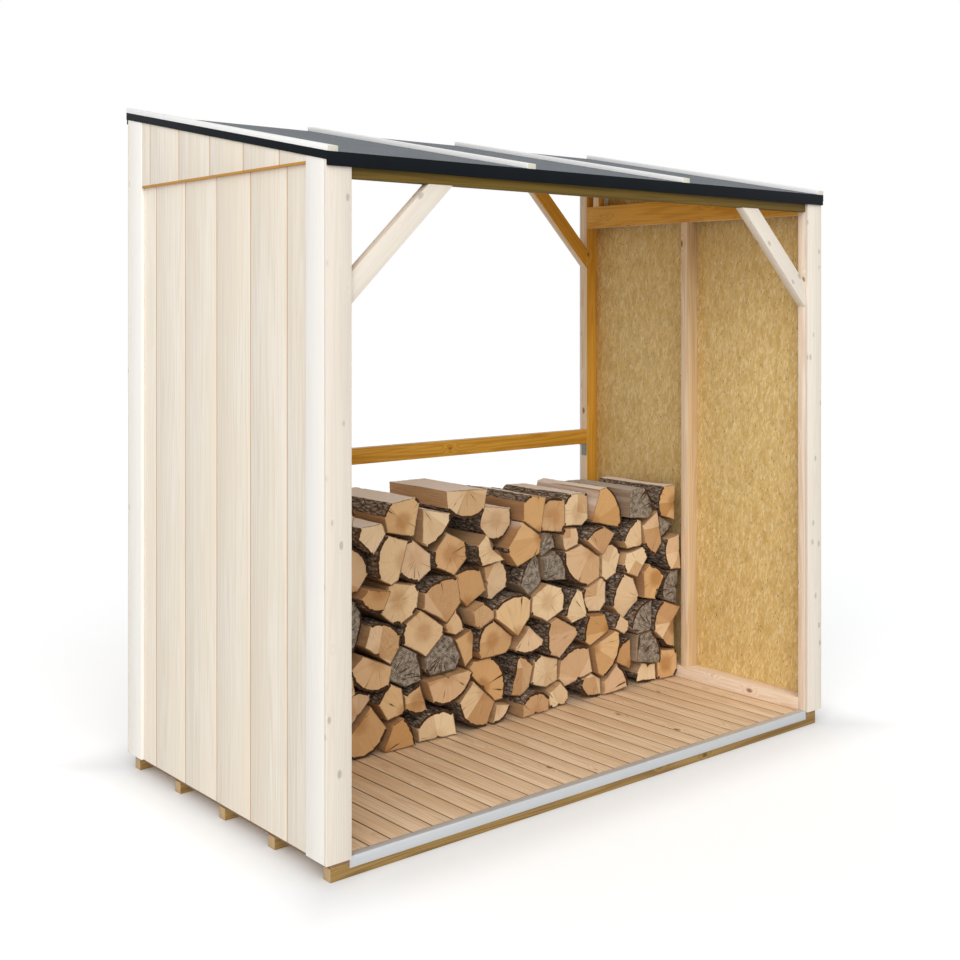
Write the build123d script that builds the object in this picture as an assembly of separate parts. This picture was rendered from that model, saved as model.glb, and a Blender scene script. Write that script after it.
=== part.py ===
from build123d import *
import math
import os
import random

# A log store: two clad side walls on a boarded floor, open at the front and the back,
# under one roof slope that falls towards the front, with a stack of split logs inside.
# Millimetres. +X is to the right, +Y to the back and +Z up.
# The origin is on the ground, in the middle of the plan.

# Timber frame
frame_width = 2218.0
frame_depth = 1214.0
post_thick = 34.0
post_wide = 63.0

# Floor
bearer_wide = 38.0
bearer_high = 38.0
bearer_count = 5
deck_thick = 18.0
deck_count = 29
deck_gap = 3.0

# Sill strip, an angle on the front edge of the floor
sill_thick = 2.0
sill_drop = 32.0
sill_tread = 28.0

# Side walls
plate_thick = 34.0
bottom_plate_high = 45.0
top_plate_high = 95.0
wall_height = 1890.0
panel_thick = 10.0
panel_below_deck = 4.0
gable_lap = 42.5
groove_wide = 3.0
groove_deep = 2.0
groove_pitch = 206.0
first_wall_groove = 210.0
first_gable_groove = 237.0
gable_stud_setback = 40.0

# Boards that cover the corners
board_thick = 12.0
corner_board_wide = 105.0
cover_board_wide = 85.0
board_below_deck = 2.0

# Roof
roof_pitch = 11.0
eaves_above_plate = 63.0
sheet_thick = 15.0
felt_thick = 3.0
rafter_thick = 34.0
rafter_high = 58.0
rafter_count = 2
verge_thick = 2.0
verge_high = 23.5
fascia_thick = 8.0
fascia_high = 39.0
batten_wide = 36.0
batten_high = 16.0
first_inner_batten = 739.0
second_inner_batten = 1460.0

# Beams, braces and the rail at the back
front_beam_high = 53.5
back_beam_high = 95.0
brace_wide = 63.0
front_brace_width = 372.0
front_brace_height = 360.0
back_brace_width = 376.0
back_brace_height = 376.0
rail_high = 63.0
rail_above_deck = 927.0
bracket_thick = 2.0
bracket_wide = 30.0
bracket_leg = 54.0
bracket_arm = 40.0

# Stack of split logs
log_length = 370.0
stack_front = 36.0
stack_left_height = 860.0
stack_right_height = 805.0
course_count = 7
logs_per_course = 14
log_clearance = 0.3
log_shift = 24.0
shortest_log_edge = 9.0
pile_seed = 32

# How far the logs differ, in shares of a log's place and in degrees
out_of_line = 0.27
wall_log_step = 0.28
size_spread = 0.5
leaning_faces = 0.12
least_lean = 3.0
most_lean = 9.0
most_top_lean = 14.0
least_top = 0.45
most_top = 0.8
kinds_of_log = {"quarter": 5, "half": 3, "whole": 2}
least_wedge = 84.0
most_wedge = 114.0
heart_corners = 3
far_corners = 4
least_bark_radius = 0.87
most_bark_radius = 0.96
bark_step = 20
first_bark_turn = 7

# How far a log rolls to the side to lie lower, and how many of the logs below it can be in its way
most_slide = 14.0
slide_count = 7
slide_cost = 0.5
logs_below_count = 16

# Places worked out from the sizes
half_width = frame_width / 2
half_depth = frame_depth / 2
inner_face = half_width - post_wide
plate_outer_face = inner_face + plate_thick
wall_face = half_width + panel_thick
board_face = wall_face + board_thick
board_front = half_depth + board_thick
post_inside = half_depth - post_thick
deck_top = bearer_high + deck_thick
top_plate_bottom = deck_top + wall_height
top_plate_top = top_plate_bottom + top_plate_high
eaves_height = top_plate_bottom + eaves_above_plate
slope = math.tan(math.radians(roof_pitch))
square_to_slope = math.cos(math.radians(roof_pitch))
well_above = 4 * top_plate_top
sides = {"left": -1, "right": 1}
ends = {"front": -1, "back": 1}
nodes = {}


def roof_height(y, above=0.0):
    # Height at y of a plane that lies the given distance above the underside of the roof sheet.
    return eaves_height + (y + half_depth) * slope + above / square_to_slope


def block(x_ends, y_ends, z_ends):
    low = [min(pair) for pair in (x_ends, y_ends, z_ends)]
    high = [max(pair) for pair in (x_ends, y_ends, z_ends)]
    middle = [(a + b) / 2 for a, b in zip(low, high)]
    return Pos(*middle) * Box(*[b - a for a, b in zip(low, high)])


def side_profile(points, x_ends):
    # A profile drawn in Y and Z, drawn out along X.
    start = Plane.YZ.offset(min(x_ends))
    face = make_face(Polyline(*points, close=True))
    return extrude(start * face, abs(x_ends[1] - x_ends[0]))


def front_profile(points, y_ends):
    # A profile drawn in X and Z, drawn out along Y.
    start = Plane(origin=(0, max(y_ends), 0), x_dir=(1, 0, 0), z_dir=(0, -1, 0))
    face = make_face(Polyline(*points, close=True))
    return extrude(start * face, abs(y_ends[1] - y_ends[0]))


def roof_layer(x_ends, y_ends, low, high):
    # A slab that follows the slope, between two distances above the underside of the sheet.
    points = [
        (y_ends[0], roof_height(y_ends[0], low)),
        (y_ends[1], roof_height(y_ends[1], low)),
        (y_ends[1], roof_height(y_ends[1], high)),
        (y_ends[0], roof_height(y_ends[0], high)),
    ]
    return side_profile(points, x_ends)


def under_roof(shape):
    # Cuts a shape along the underside of the roof sheet.
    above = roof_layer((-well_above, well_above), (-well_above, well_above), 0, well_above)
    return shape - above


def add_floor():
    bearer_pitch = (frame_depth - bearer_wide) / (bearer_count - 1)
    bearers = []
    for index in range(bearer_count):
        start = -half_depth + index * bearer_pitch
        bearers.append(block((-half_width, half_width), (start, start + bearer_wide), (0, bearer_high)))
    nodes["bearers"] = Compound(bearers)
    board_wide = (frame_width - (deck_count - 1) * deck_gap) / deck_count
    boards = []
    for index in range(deck_count):
        start = -half_width + index * (board_wide + deck_gap)
        boards.append(block((start, start + board_wide), (-half_depth, half_depth), (bearer_high, deck_top)))
    nodes["deck_boards"] = Compound(boards)


def add_sill():
    sill_top = deck_top + sill_thick
    sill_front = -half_depth - sill_thick
    points = [
        (sill_front, sill_top),
        (sill_front, sill_top - sill_drop),
        (sill_front + sill_thick, sill_top - sill_drop),
        (sill_front + sill_thick, deck_top),
        (sill_front + sill_tread, deck_top),
        (sill_front + sill_tread, sill_top),
    ]
    nodes["sill_strip"] = side_profile(points, (-inner_face, inner_face))


def add_wall_frame(side, sign):
    outer = sign * half_width
    inner = sign * inner_face
    bottom_plate_top = deck_top + bottom_plate_high
    for end, end_sign in ends.items():
        post = block((outer, inner), (end_sign * half_depth, end_sign * post_inside), (deck_top, well_above))
        nodes[f"{side}_{end}_post"] = under_roof(post)
    plate_ends = (-post_inside, post_inside)
    nodes[f"{side}_bottom_plate"] = block((outer, inner), plate_ends, (deck_top, bottom_plate_top))
    stud_ends = (-post_thick / 2, post_thick / 2)
    nodes[f"{side}_middle_stud"] = block((outer, inner), stud_ends, (bottom_plate_top, top_plate_bottom))
    plate_sides = (sign * plate_outer_face, inner)
    top_plate = block(plate_sides, plate_ends, (top_plate_bottom, top_plate_top))
    nodes[f"{side}_top_plate"] = under_roof(top_plate)
    last_stud_back = post_inside - gable_stud_setback
    gable_studs = []
    for back in (post_thick / 2, last_stud_back):
        stud = block(plate_sides, (back - post_thick, back), (top_plate_top, well_above))
        gable_studs.append(under_roof(stud).solid())
    nodes[f"{side}_gable_studs"] = Compound(gable_studs)


def grooved_panel(x_ends, y_ends, z_ends, sign, first_groove):
    # A sheet with upright grooves cut into its outer face.
    panel = block(x_ends, y_ends, z_ends)
    face = sign * max(abs(x_ends[0]), abs(x_ends[1]))
    groove = -half_depth + first_groove
    while groove < max(y_ends) - groove_wide:
        groove_ends = (groove - groove_wide / 2, groove + groove_wide / 2)
        panel -= block((face - sign * groove_deep, face + sign * groove_deep), groove_ends, z_ends)
        groove += groove_pitch
    return under_roof(panel)


def add_cladding(side, sign):
    wall_bottom = deck_top - panel_below_deck
    board_bottom = deck_top - board_below_deck
    nodes[f"{side}_wall_panel"] = grooved_panel(
        (sign * half_width, sign * wall_face),
        (-half_depth, half_depth),
        (wall_bottom, top_plate_top),
        sign,
        first_wall_groove,
    )
    boards_inside = board_front - corner_board_wide
    nodes[f"{side}_gable_panel"] = grooved_panel(
        (sign * wall_face, sign * (wall_face + panel_thick)),
        (-boards_inside, boards_inside),
        (top_plate_top - gable_lap, well_above),
        sign,
        first_gable_groove,
    )
    corner_boards = []
    for end_sign in ends.values():
        board_ends = (end_sign * half_depth, end_sign * boards_inside)
        board = block((sign * wall_face, sign * board_face), board_ends, (board_bottom, well_above))
        corner_boards.append(under_roof(board).solid())
    nodes[f"{side}_corner_boards"] = Compound(corner_boards)


def add_cover_boards(end, end_sign):
    boards = []
    for sign in sides.values():
        board = block(
            (sign * board_face, sign * (board_face - cover_board_wide)),
            (end_sign * half_depth, end_sign * board_front),
            (deck_top - board_below_deck, well_above),
        )
        boards.append(under_roof(board).solid())
    nodes[f"{end}_cover_boards"] = Compound(boards)


def add_beam_and_braces(end, end_sign, beam_high, run, rise):
    y_ends = (end_sign * half_depth, end_sign * post_inside)
    beam_bottom = roof_height(min(y_ends)) - beam_high
    beam = block((-inner_face, inner_face), y_ends, (beam_bottom, well_above))
    nodes[f"{end}_beam"] = under_roof(beam)
    length = math.hypot(run, rise)
    upright_cut = brace_wide * length / run
    level_cut = brace_wide * length / rise
    for side, sign in sides.items():
        points = [
            (sign * inner_face, beam_bottom - rise),
            (sign * (inner_face - run), beam_bottom),
            (sign * (inner_face - run + level_cut), beam_bottom),
            (sign * inner_face, beam_bottom - rise + upright_cut),
        ]
        nodes[f"{end}_{side}_brace"] = front_profile(points, y_ends)


def add_back_rail():
    rail_bottom = deck_top + rail_above_deck
    y_ends = (post_inside, half_depth)
    nodes["back_rail"] = block((-inner_face, inner_face), y_ends, (rail_bottom, rail_bottom + rail_high))
    bracket_back = (post_inside + half_depth + bracket_wide) / 2
    brackets = []
    for sign in sides.values():
        points = [
            (sign * inner_face, rail_bottom),
            (sign * inner_face, rail_bottom - bracket_leg),
            (sign * (inner_face - bracket_thick), rail_bottom - bracket_leg),
            (sign * (inner_face - bracket_thick), rail_bottom - bracket_thick),
            (sign * (inner_face - bracket_arm), rail_bottom - bracket_thick),
            (sign * (inner_face - bracket_arm), rail_bottom),
        ]
        brackets.append(front_profile(points, (bracket_back - bracket_wide, bracket_back)).solid())
    nodes["rail_brackets"] = Compound(brackets)


def add_roof():
    rafter_ends = (-post_inside, post_inside)
    rafters = []
    for sign in sides.values():
        x_ends = (sign * plate_outer_face, sign * half_width)
        rafters.append(roof_layer(x_ends, rafter_ends, -rafter_high, 0).solid())
    spacing = frame_width / (rafter_count + 1)
    for index in range(rafter_count):
        middle = -half_width + (index + 1) * spacing
        x_ends = (middle - rafter_thick / 2, middle + rafter_thick / 2)
        rafters.append(roof_layer(x_ends, rafter_ends, -rafter_high, 0).solid())
    nodes["rafters"] = Compound(rafters)
    roof_sides = (-board_face, board_face)
    roof_ends = (-board_front, board_front)
    felt_top = sheet_thick + felt_thick
    nodes["roof_sheet"] = roof_layer(roof_sides, roof_ends, 0, sheet_thick)
    nodes["roof_felt"] = roof_layer(roof_sides, roof_ends, sheet_thick, felt_top)
    for end, end_sign in ends.items():
        outside = end_sign * (board_front + fascia_thick)
        inside = end_sign * board_front
        bottom = roof_height(min(outside, inside), felt_top) - fascia_high
        points = [
            (outside, bottom),
            (inside, bottom),
            (inside, roof_height(inside, felt_top)),
            (outside, roof_height(outside, felt_top)),
        ]
        nodes[f"{end}_fascia"] = side_profile(points, roof_sides)
    edge_ends = (-board_front - fascia_thick, board_front + fascia_thick)
    verges = []
    for sign in sides.values():
        x_ends = (sign * board_face, sign * (board_face + verge_thick))
        verges.append(roof_layer(x_ends, edge_ends, felt_top - verge_high, felt_top).solid())
    nodes["verge_strips"] = Compound(verges)
    left_edge = -board_face - verge_thick
    right_edge = board_face + verge_thick
    battens = []
    for start in (0, first_inner_batten, second_inner_batten, right_edge - left_edge - batten_wide):
        x_ends = (left_edge + start, left_edge + start + batten_wide)
        battens.append(roof_layer(x_ends, edge_ends, felt_top, felt_top + batten_high).solid())
    nodes["roof_battens"] = Compound(battens)


def toward(turn):
    return math.cos(math.radians(turn)), math.sin(math.radians(turn))


def sides_of(outline):
    return list(zip(outline, outline[1:] + outline[:1]))


def clipped(outline, point, turn, reach=0.0):
    # The part of a convex outline that lies no further than reach beyond a point, in the direction of turn.
    direction = toward(turn)
    limit = point[0] * direction[0] + point[1] * direction[1] + reach
    kept = []
    for start, end in sides_of(outline):
        start_over = start[0] * direction[0] + start[1] * direction[1] - limit
        end_over = end[0] * direction[0] + end[1] * direction[1] - limit
        if start_over <= 0:
            kept.append(start)
        if start_over * end_over < 0:
            share = start_over / (start_over - end_over)
            kept.append((start[0] + share * (end[0] - start[0]), start[1] + share * (end[1] - start[1])))
    return kept


def log_centres(chance):
    # Staggered courses, each log a little out of line. A heavier log takes more room.
    pitch = 2 * inner_face / logs_per_course
    centres = []
    for course in range(course_count):
        steps = [index + 0.5 for index in range(logs_per_course)]
        if course % 2:
            steps = [wall_log_step, *range(1, logs_per_course), logs_per_course - wall_log_step]
        for step in steps:
            x = -inner_face + pitch * (step + chance.uniform(-out_of_line, out_of_line))
            share = (x + inner_face) / (2 * inner_face)
            stack_high = stack_left_height + share * (stack_right_height - stack_left_height)
            course_high = stack_high / course_count
            z = deck_top + course_high * (course + 0.5 + chance.uniform(-out_of_line, out_of_line))
            weight = chance.uniform(-1, 1) * (size_spread * course_high) ** 2
            centres.append((course, x, z, course_high, weight))
    return centres


def log_place(index, centres, chance):
    # The room between the neighbours, the walls and the floor.
    course, x, z, course_high, weight = centres[index]
    left = -inner_face + log_clearance
    floor = deck_top + log_clearance
    above = z + 2 * course_high
    farthest_neighbour = 4 * course_high
    place = [(left, floor), (-left, floor), (-left, above), (left, above)]
    if course == course_count - 1:
        top_turn = 90 + chance.uniform(-most_top_lean, most_top_lean)
        place = clipped(place, (x, z), top_turn, course_high * chance.uniform(least_top, most_top))
    for other_index, (_, other_x, other_z, _, other_weight) in enumerate(centres):
        distance = math.dist((x, z), (other_x, other_z))
        if other_index == index or distance > farthest_neighbour:
            continue
        turn = math.degrees(math.atan2(other_z - z, other_x - x))
        share = (distance + (weight - other_weight) / distance) / 2
        place = clipped(place, (x, z), turn, share - log_clearance)
    return place


def split_askew(place, chance):
    # Leans some of the split faces about one of their corners, away from the neighbour.
    outline = place
    for start, end in sides_of(place):
        if chance.random() < leaning_faces:
            outward = math.degrees(math.atan2(start[0] - end[0], end[1] - start[1]))
            lean = chance.uniform(least_lean, most_lean)
            pivot, turn = chance.choice([(start, outward + lean), (end, outward - lean)])
            outline = clipped(outline, pivot, turn)
    return outline


def narrowed(outline, heart, chance):
    # Cuts a quarter log to the angle of a wedge at its heart.
    spot = outline.index(heart)
    after, before = outline[(spot + 1) % len(outline)], outline[spot - 1]
    first = math.degrees(math.atan2(after[1] - heart[1], after[0] - heart[0]))
    last = math.degrees(math.atan2(before[1] - heart[1], before[0] - heart[0]))
    spare = max(0, (last - first) % 360 - chance.uniform(least_wedge, most_wedge))
    share = chance.random()
    outline = clipped(outline, heart, first - 90 + spare * share)
    return clipped(outline, heart, last + 90 - spare * (1 - share))


def log_outline(place, chance):
    # The bark is round about the heart of the trunk, which is at a far corner of a quarter log,
    # in the middle of a half log's widest face and in the middle of a whole log.
    outline = split_askew(place, chance)
    middle = [sum(point[axis] for point in outline) / len(outline) for axis in (0, 1)]
    kind = chance.choices(list(kinds_of_log), weights=kinds_of_log.values())[0]
    if kind == "quarter":
        corners = sorted(outline, key=lambda point: math.dist(point, middle))
        heart = chance.choice(corners[-heart_corners:])
        outline = narrowed(outline, heart, chance)
    elif kind == "half":
        start, end = max(sides_of(outline), key=lambda side: math.dist(*side))
        heart = ((start[0] + end[0]) / 2, (start[1] + end[1]) / 2)
    else:
        heart = middle
    reaches = sorted(math.dist(heart, point) for point in outline)[-far_corners:]
    bark_radius = sum(reaches) / len(reaches) * chance.uniform(least_bark_radius, most_bark_radius)
    for turn in range(first_bark_turn, 360, bark_step):
        outline = clipped(outline, heart, turn, bark_radius)
    return without_short_edges(outline)


def without_short_edges(outline):
    kept = []
    for point in outline:
        if not kept or math.dist(point, kept[-1]) > shortest_log_edge:
            kept.append(point)
    if math.dist(kept[0], kept[-1]) < shortest_log_edge:
        kept.pop()
    return kept


def crossings(outline, x):
    # The heights at which an upright line at x crosses an outline.
    heights = []
    for start, end in sides_of(outline):
        if start[0] != end[0] and min(start[0], end[0]) <= x <= max(start[0], end[0]):
            share = (x - start[0]) / (end[0] - start[0])
            heights.append(start[1] + share * (end[1] - start[1]))
    return heights


def let_down(outline, settled):
    # Lowers a log until it rests on the floor or on a log that lies already.
    drop = min(z for _, z in outline) - deck_top
    for below in settled:
        for x, _ in outline + below:
            own = crossings(outline, x)
            others = crossings(below, x)
            if own and others:
                drop = min(drop, min(own) - max(others))
    return [(x, z - drop + log_clearance) for x, z in outline]


def rolled_down(outline, settled):
    # Of the places a little to either side, the one where a log comes to lie the lowest.
    left = min(x for x, _ in outline) - most_slide
    right = max(x for x, _ in outline) + most_slide
    near = [other for other in settled if min(other)[0] < right and max(other)[0] > left]
    near = near[-logs_below_count:]
    best = let_down(outline, near)
    least = best[0][1]
    for step in range(-slide_count, slide_count + 1):
        slide = step * most_slide / slide_count
        moved = [(x + slide, z) for x, z in outline]
        if min(moved)[0] > -inner_face and max(moved)[0] < inner_face:
            lowered = let_down(moved, near)
            height = lowered[0][1] + slide_cost * abs(slide)
            if height < least:
                best, least = lowered, height
    return best


def add_firewood():
    chance = random.Random(pile_seed)
    centres = sorted(log_centres(chance), key=lambda centre: centre[2])
    courses = {course: [] for course in range(course_count)}
    settled = []
    for index, centre in enumerate(centres):
        outline = rolled_down(log_outline(log_place(index, centres, chance), chance), settled)
        settled.append(outline)
        front = stack_front + chance.uniform(-log_shift, log_shift)
        courses[centre[0]].append(front_profile(outline, (front, front + log_length)).solid())
    for course, logs in courses.items():
        nodes[f"firewood_course_{course + 1}"] = Compound(logs)


add_floor()
add_sill()
for side, sign in sides.items():
    add_wall_frame(side, sign)
    add_cladding(side, sign)
for end, end_sign in ends.items():
    add_cover_boards(end, end_sign)
add_beam_and_braces("front", ends["front"], front_beam_high, front_brace_width, front_brace_height)
add_beam_and_braces("back", ends["back"], back_beam_high, back_brace_width, back_brace_height)
add_back_rail()
add_roof()
add_firewood()

os.makedirs("parts", exist_ok=True)
for name, shape in nodes.items():
    export_step(shape, f"parts/{name}.step")
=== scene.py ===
import math
import random

import bpy
from mathutils import Matrix, Vector, noise


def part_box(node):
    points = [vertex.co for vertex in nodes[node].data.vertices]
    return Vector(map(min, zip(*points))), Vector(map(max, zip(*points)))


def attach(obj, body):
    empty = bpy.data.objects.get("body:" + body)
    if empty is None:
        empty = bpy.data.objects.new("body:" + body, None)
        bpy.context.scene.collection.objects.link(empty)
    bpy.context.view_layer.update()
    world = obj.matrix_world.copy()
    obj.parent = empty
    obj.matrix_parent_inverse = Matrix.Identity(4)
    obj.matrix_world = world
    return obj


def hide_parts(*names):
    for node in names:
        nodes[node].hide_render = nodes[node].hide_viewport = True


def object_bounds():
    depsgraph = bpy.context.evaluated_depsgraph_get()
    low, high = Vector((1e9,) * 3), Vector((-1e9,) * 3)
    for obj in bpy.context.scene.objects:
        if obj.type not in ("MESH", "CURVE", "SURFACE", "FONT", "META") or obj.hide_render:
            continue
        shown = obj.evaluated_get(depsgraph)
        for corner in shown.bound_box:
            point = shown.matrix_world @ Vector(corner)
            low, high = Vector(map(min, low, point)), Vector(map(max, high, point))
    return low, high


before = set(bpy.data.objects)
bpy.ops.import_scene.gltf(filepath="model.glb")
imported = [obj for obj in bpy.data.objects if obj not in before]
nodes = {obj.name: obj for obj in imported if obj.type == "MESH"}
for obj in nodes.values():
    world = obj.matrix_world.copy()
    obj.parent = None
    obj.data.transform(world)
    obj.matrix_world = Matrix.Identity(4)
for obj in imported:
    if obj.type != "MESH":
        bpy.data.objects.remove(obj)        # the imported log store, in metres, with its open front towards -Y
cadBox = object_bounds()
mm = 0.001
print("frame loaded,", len(nodes), "nodes")


# Camera: level, at a standing eye's height, off the front left corner
camera = {"place": (-3.1626, -3.6973, 1.5945), "turn": -40, "lens": 50, "shiftY": -0.1802}


def placeCamera():
    turned = (math.radians(90), 0, math.radians(camera["turn"]))
    bpy.ops.object.camera_add(location=camera["place"], rotation=turned)
    eye = bpy.context.object
    eye.data.lens = camera["lens"]
    eye.data.shift_y = camera["shiftY"]
    bpy.context.scene.camera = eye


def hexColor(code):
    # sRGB hex to the linear values that sockets take
    parts = [int(code[i:i + 2], 16) / 255 for i in (1, 3, 5)]
    return (*[p / 12.92 if p <= 0.04045 else ((p + 0.055) / 1.055) ** 2.4 for p in parts], 1.0)


def newMaterial(name):
    material = bpy.data.materials.new(name)
    material.use_nodes = True
    return material, material.node_tree, material.node_tree.nodes["Principled BSDF"]


def addNode(tree, kind, settings=None, inputs=None, output=0):
    # adds a node with its settings, fills or links its inputs, and returns one of its outputs
    node = tree.nodes.new("ShaderNode" + kind)
    for name, value in (settings or {}).items():
        setattr(node, name, value)
    for name, value in (inputs or {}).items():
        if isinstance(value, bpy.types.NodeSocket):
            tree.links.new(value, node.inputs[name])
        else:
            node.inputs[name].default_value = value
    return node.outputs[output]


# settings that repeat; a Mix node of colours has its share at 0, its colours at 6 and 7 and its result at 2
mixColors = {"data_type": "RGBA"}
softly = {"interpolation_type": "SMOOTHSTEP"}


def finishShader(tree, shader, color, height, values, depthMm, strength):
    # links colour and relief, and sets what is the same all over
    tree.links.new(color, shader.inputs["Base Color"])
    bump = addNode(tree, "Bump", {}, {"Height": height, "Distance": depthMm * mm, "Strength": strength})
    tree.links.new(bump, shader.inputs["Normal"])
    for name, value in values.items():
        shader.inputs[name].default_value = value


def grainCoords(tree, turn, cellMm):
    # Object coordinates with the grain turned to their Z, one unit to a cell of the pattern
    turned = [math.radians(angle) for angle in turn]
    return addNode(tree, "Mapping", {"vector_type": "TEXTURE"}, {
        "Vector": addNode(tree, "TexCoord", output="Object"),
        "Rotation": turned, "Scale": [size * mm for size in cellMm]})


# turns, in degrees, that lay a pattern's long side along the piece
alongX = (0, 90, 0)
alongY = (-90, 0, 0)
alongZ = (0, 0, 0)

# Softwood. Cut along the trunk it shows long wavy growth lines that bend round its knots.
timber = {
    # planed spruce under two coats of white primer, which hides all but the boldest grain
    "whitePrimed": {"pale": "#E9DCC6", "dark": "#CDB591", "knot": "#8C7A66", "lineMm": 46, "knotMm": 105,
                    "knotFree": 0.72, "coat": "#F8F6F1", "coatShare": 0.86, "roughness": 0.58},
    # planed spruce under one thin coat: cream, with grey brown knots; the cream is partly the thin coat and
    # partly painted shade, for boards that face the front and get less light
    "creamPrimed": {"pale": "#EAD9BF", "dark": "#C5A57C", "knot": "#6E5B4A", "lineMm": 42, "knotMm": 50,
                    "knotFree": 0.2, "knotWide": 1.8, "coat": "#EEE7DC", "coatShare": 0.76, "roughness": 0.6},
    # white painted pine with bare sawn ends
    "painted": {"pale": "#F0EBE0", "dark": "#DDD3C0", "knot": "#B5A88F", "lineMm": 40, "knotMm": 120,
                "knotFree": 0.8, "coat": "#FAFAF9", "coatShare": 0.85, "cutEnd": "#D9D6C2", "cutAxis": "Y"},
    # bare planed spruce, pale with a little pink
    "spruce": {"pale": "#FAEBDB", "dark": "#E8CFB4", "knot": "#8E6038", "lineMm": 38, "knotMm": 98,
               "knotFree": 0.55, "roughness": 0.6},
    # the same wood, with painted shade on the faces that face along flatAxis: a dark golden brown for the
    # shade inside the store
    "golden": {"pale": "#F3DFC6", "dark": "#DDBB92", "knot": "#7A4A1C", "lineMm": 38, "knotMm": 98,
               "knotFree": 0.5, "flat": ("#EBB448", "#C98C25"), "flatAxis": "Y", "roughness": 0.58},
    # the beam over the opening in a dark greenish brown, painted shadow for the shade under the roof's
    # overhang
    "olive": {"pale": "#785F1A", "dark": "#5A450E", "knot": "#4F3B1D", "lineMm": 38, "knotMm": 98,
              "knotFree": 0.6, "roughness": 0.65},
    # pressure treated pine, sawn: greenish brown and furry
    "treated": {"pale": "#A98A52", "dark": "#7E6032", "knot": "#4F3B1D", "lineMm": 34, "knotMm": 80,
                "knotFree": 0.5, "cutEnd": "#BCA078", "cutAxis": "X", "relief": 0.5, "roughness": 0.8},
    # planed larch with brown oil; the sides of the boards, down in the gaps between them, are painted dark as
    # painted shade
    "larch": {"pale": "#F6DEC0", "dark": "#D3B08A", "knot": "#7E5A3A", "lineMm": 40, "knotMm": 105,
              "knotFree": 0.45, "edge": "#6B4A2C", "edgeAxis": "X", "cutEnd": "#94714A", "cutAxis": "Y",
              "roughness": 0.55},
}
# the same golden painted shade again, paler, as on the middle studs
timber["honey"] = {**timber["golden"], "flat": ("#E4CBA8", "#CFAD80")}

# What all of them share. Fibres are drawn 2.2 mm wide, coarser than real, so that they show.
grain = {"trunkMm": 1300, "lines": 62.0, "knotLong": 1.8, "knotBend": 0.2, "knotCoat": 0.62,
         "fibreMm": (2.2, 2.2, 130), "cloudMm": (60, 60, 620), "plankShare": 0.5}


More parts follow.
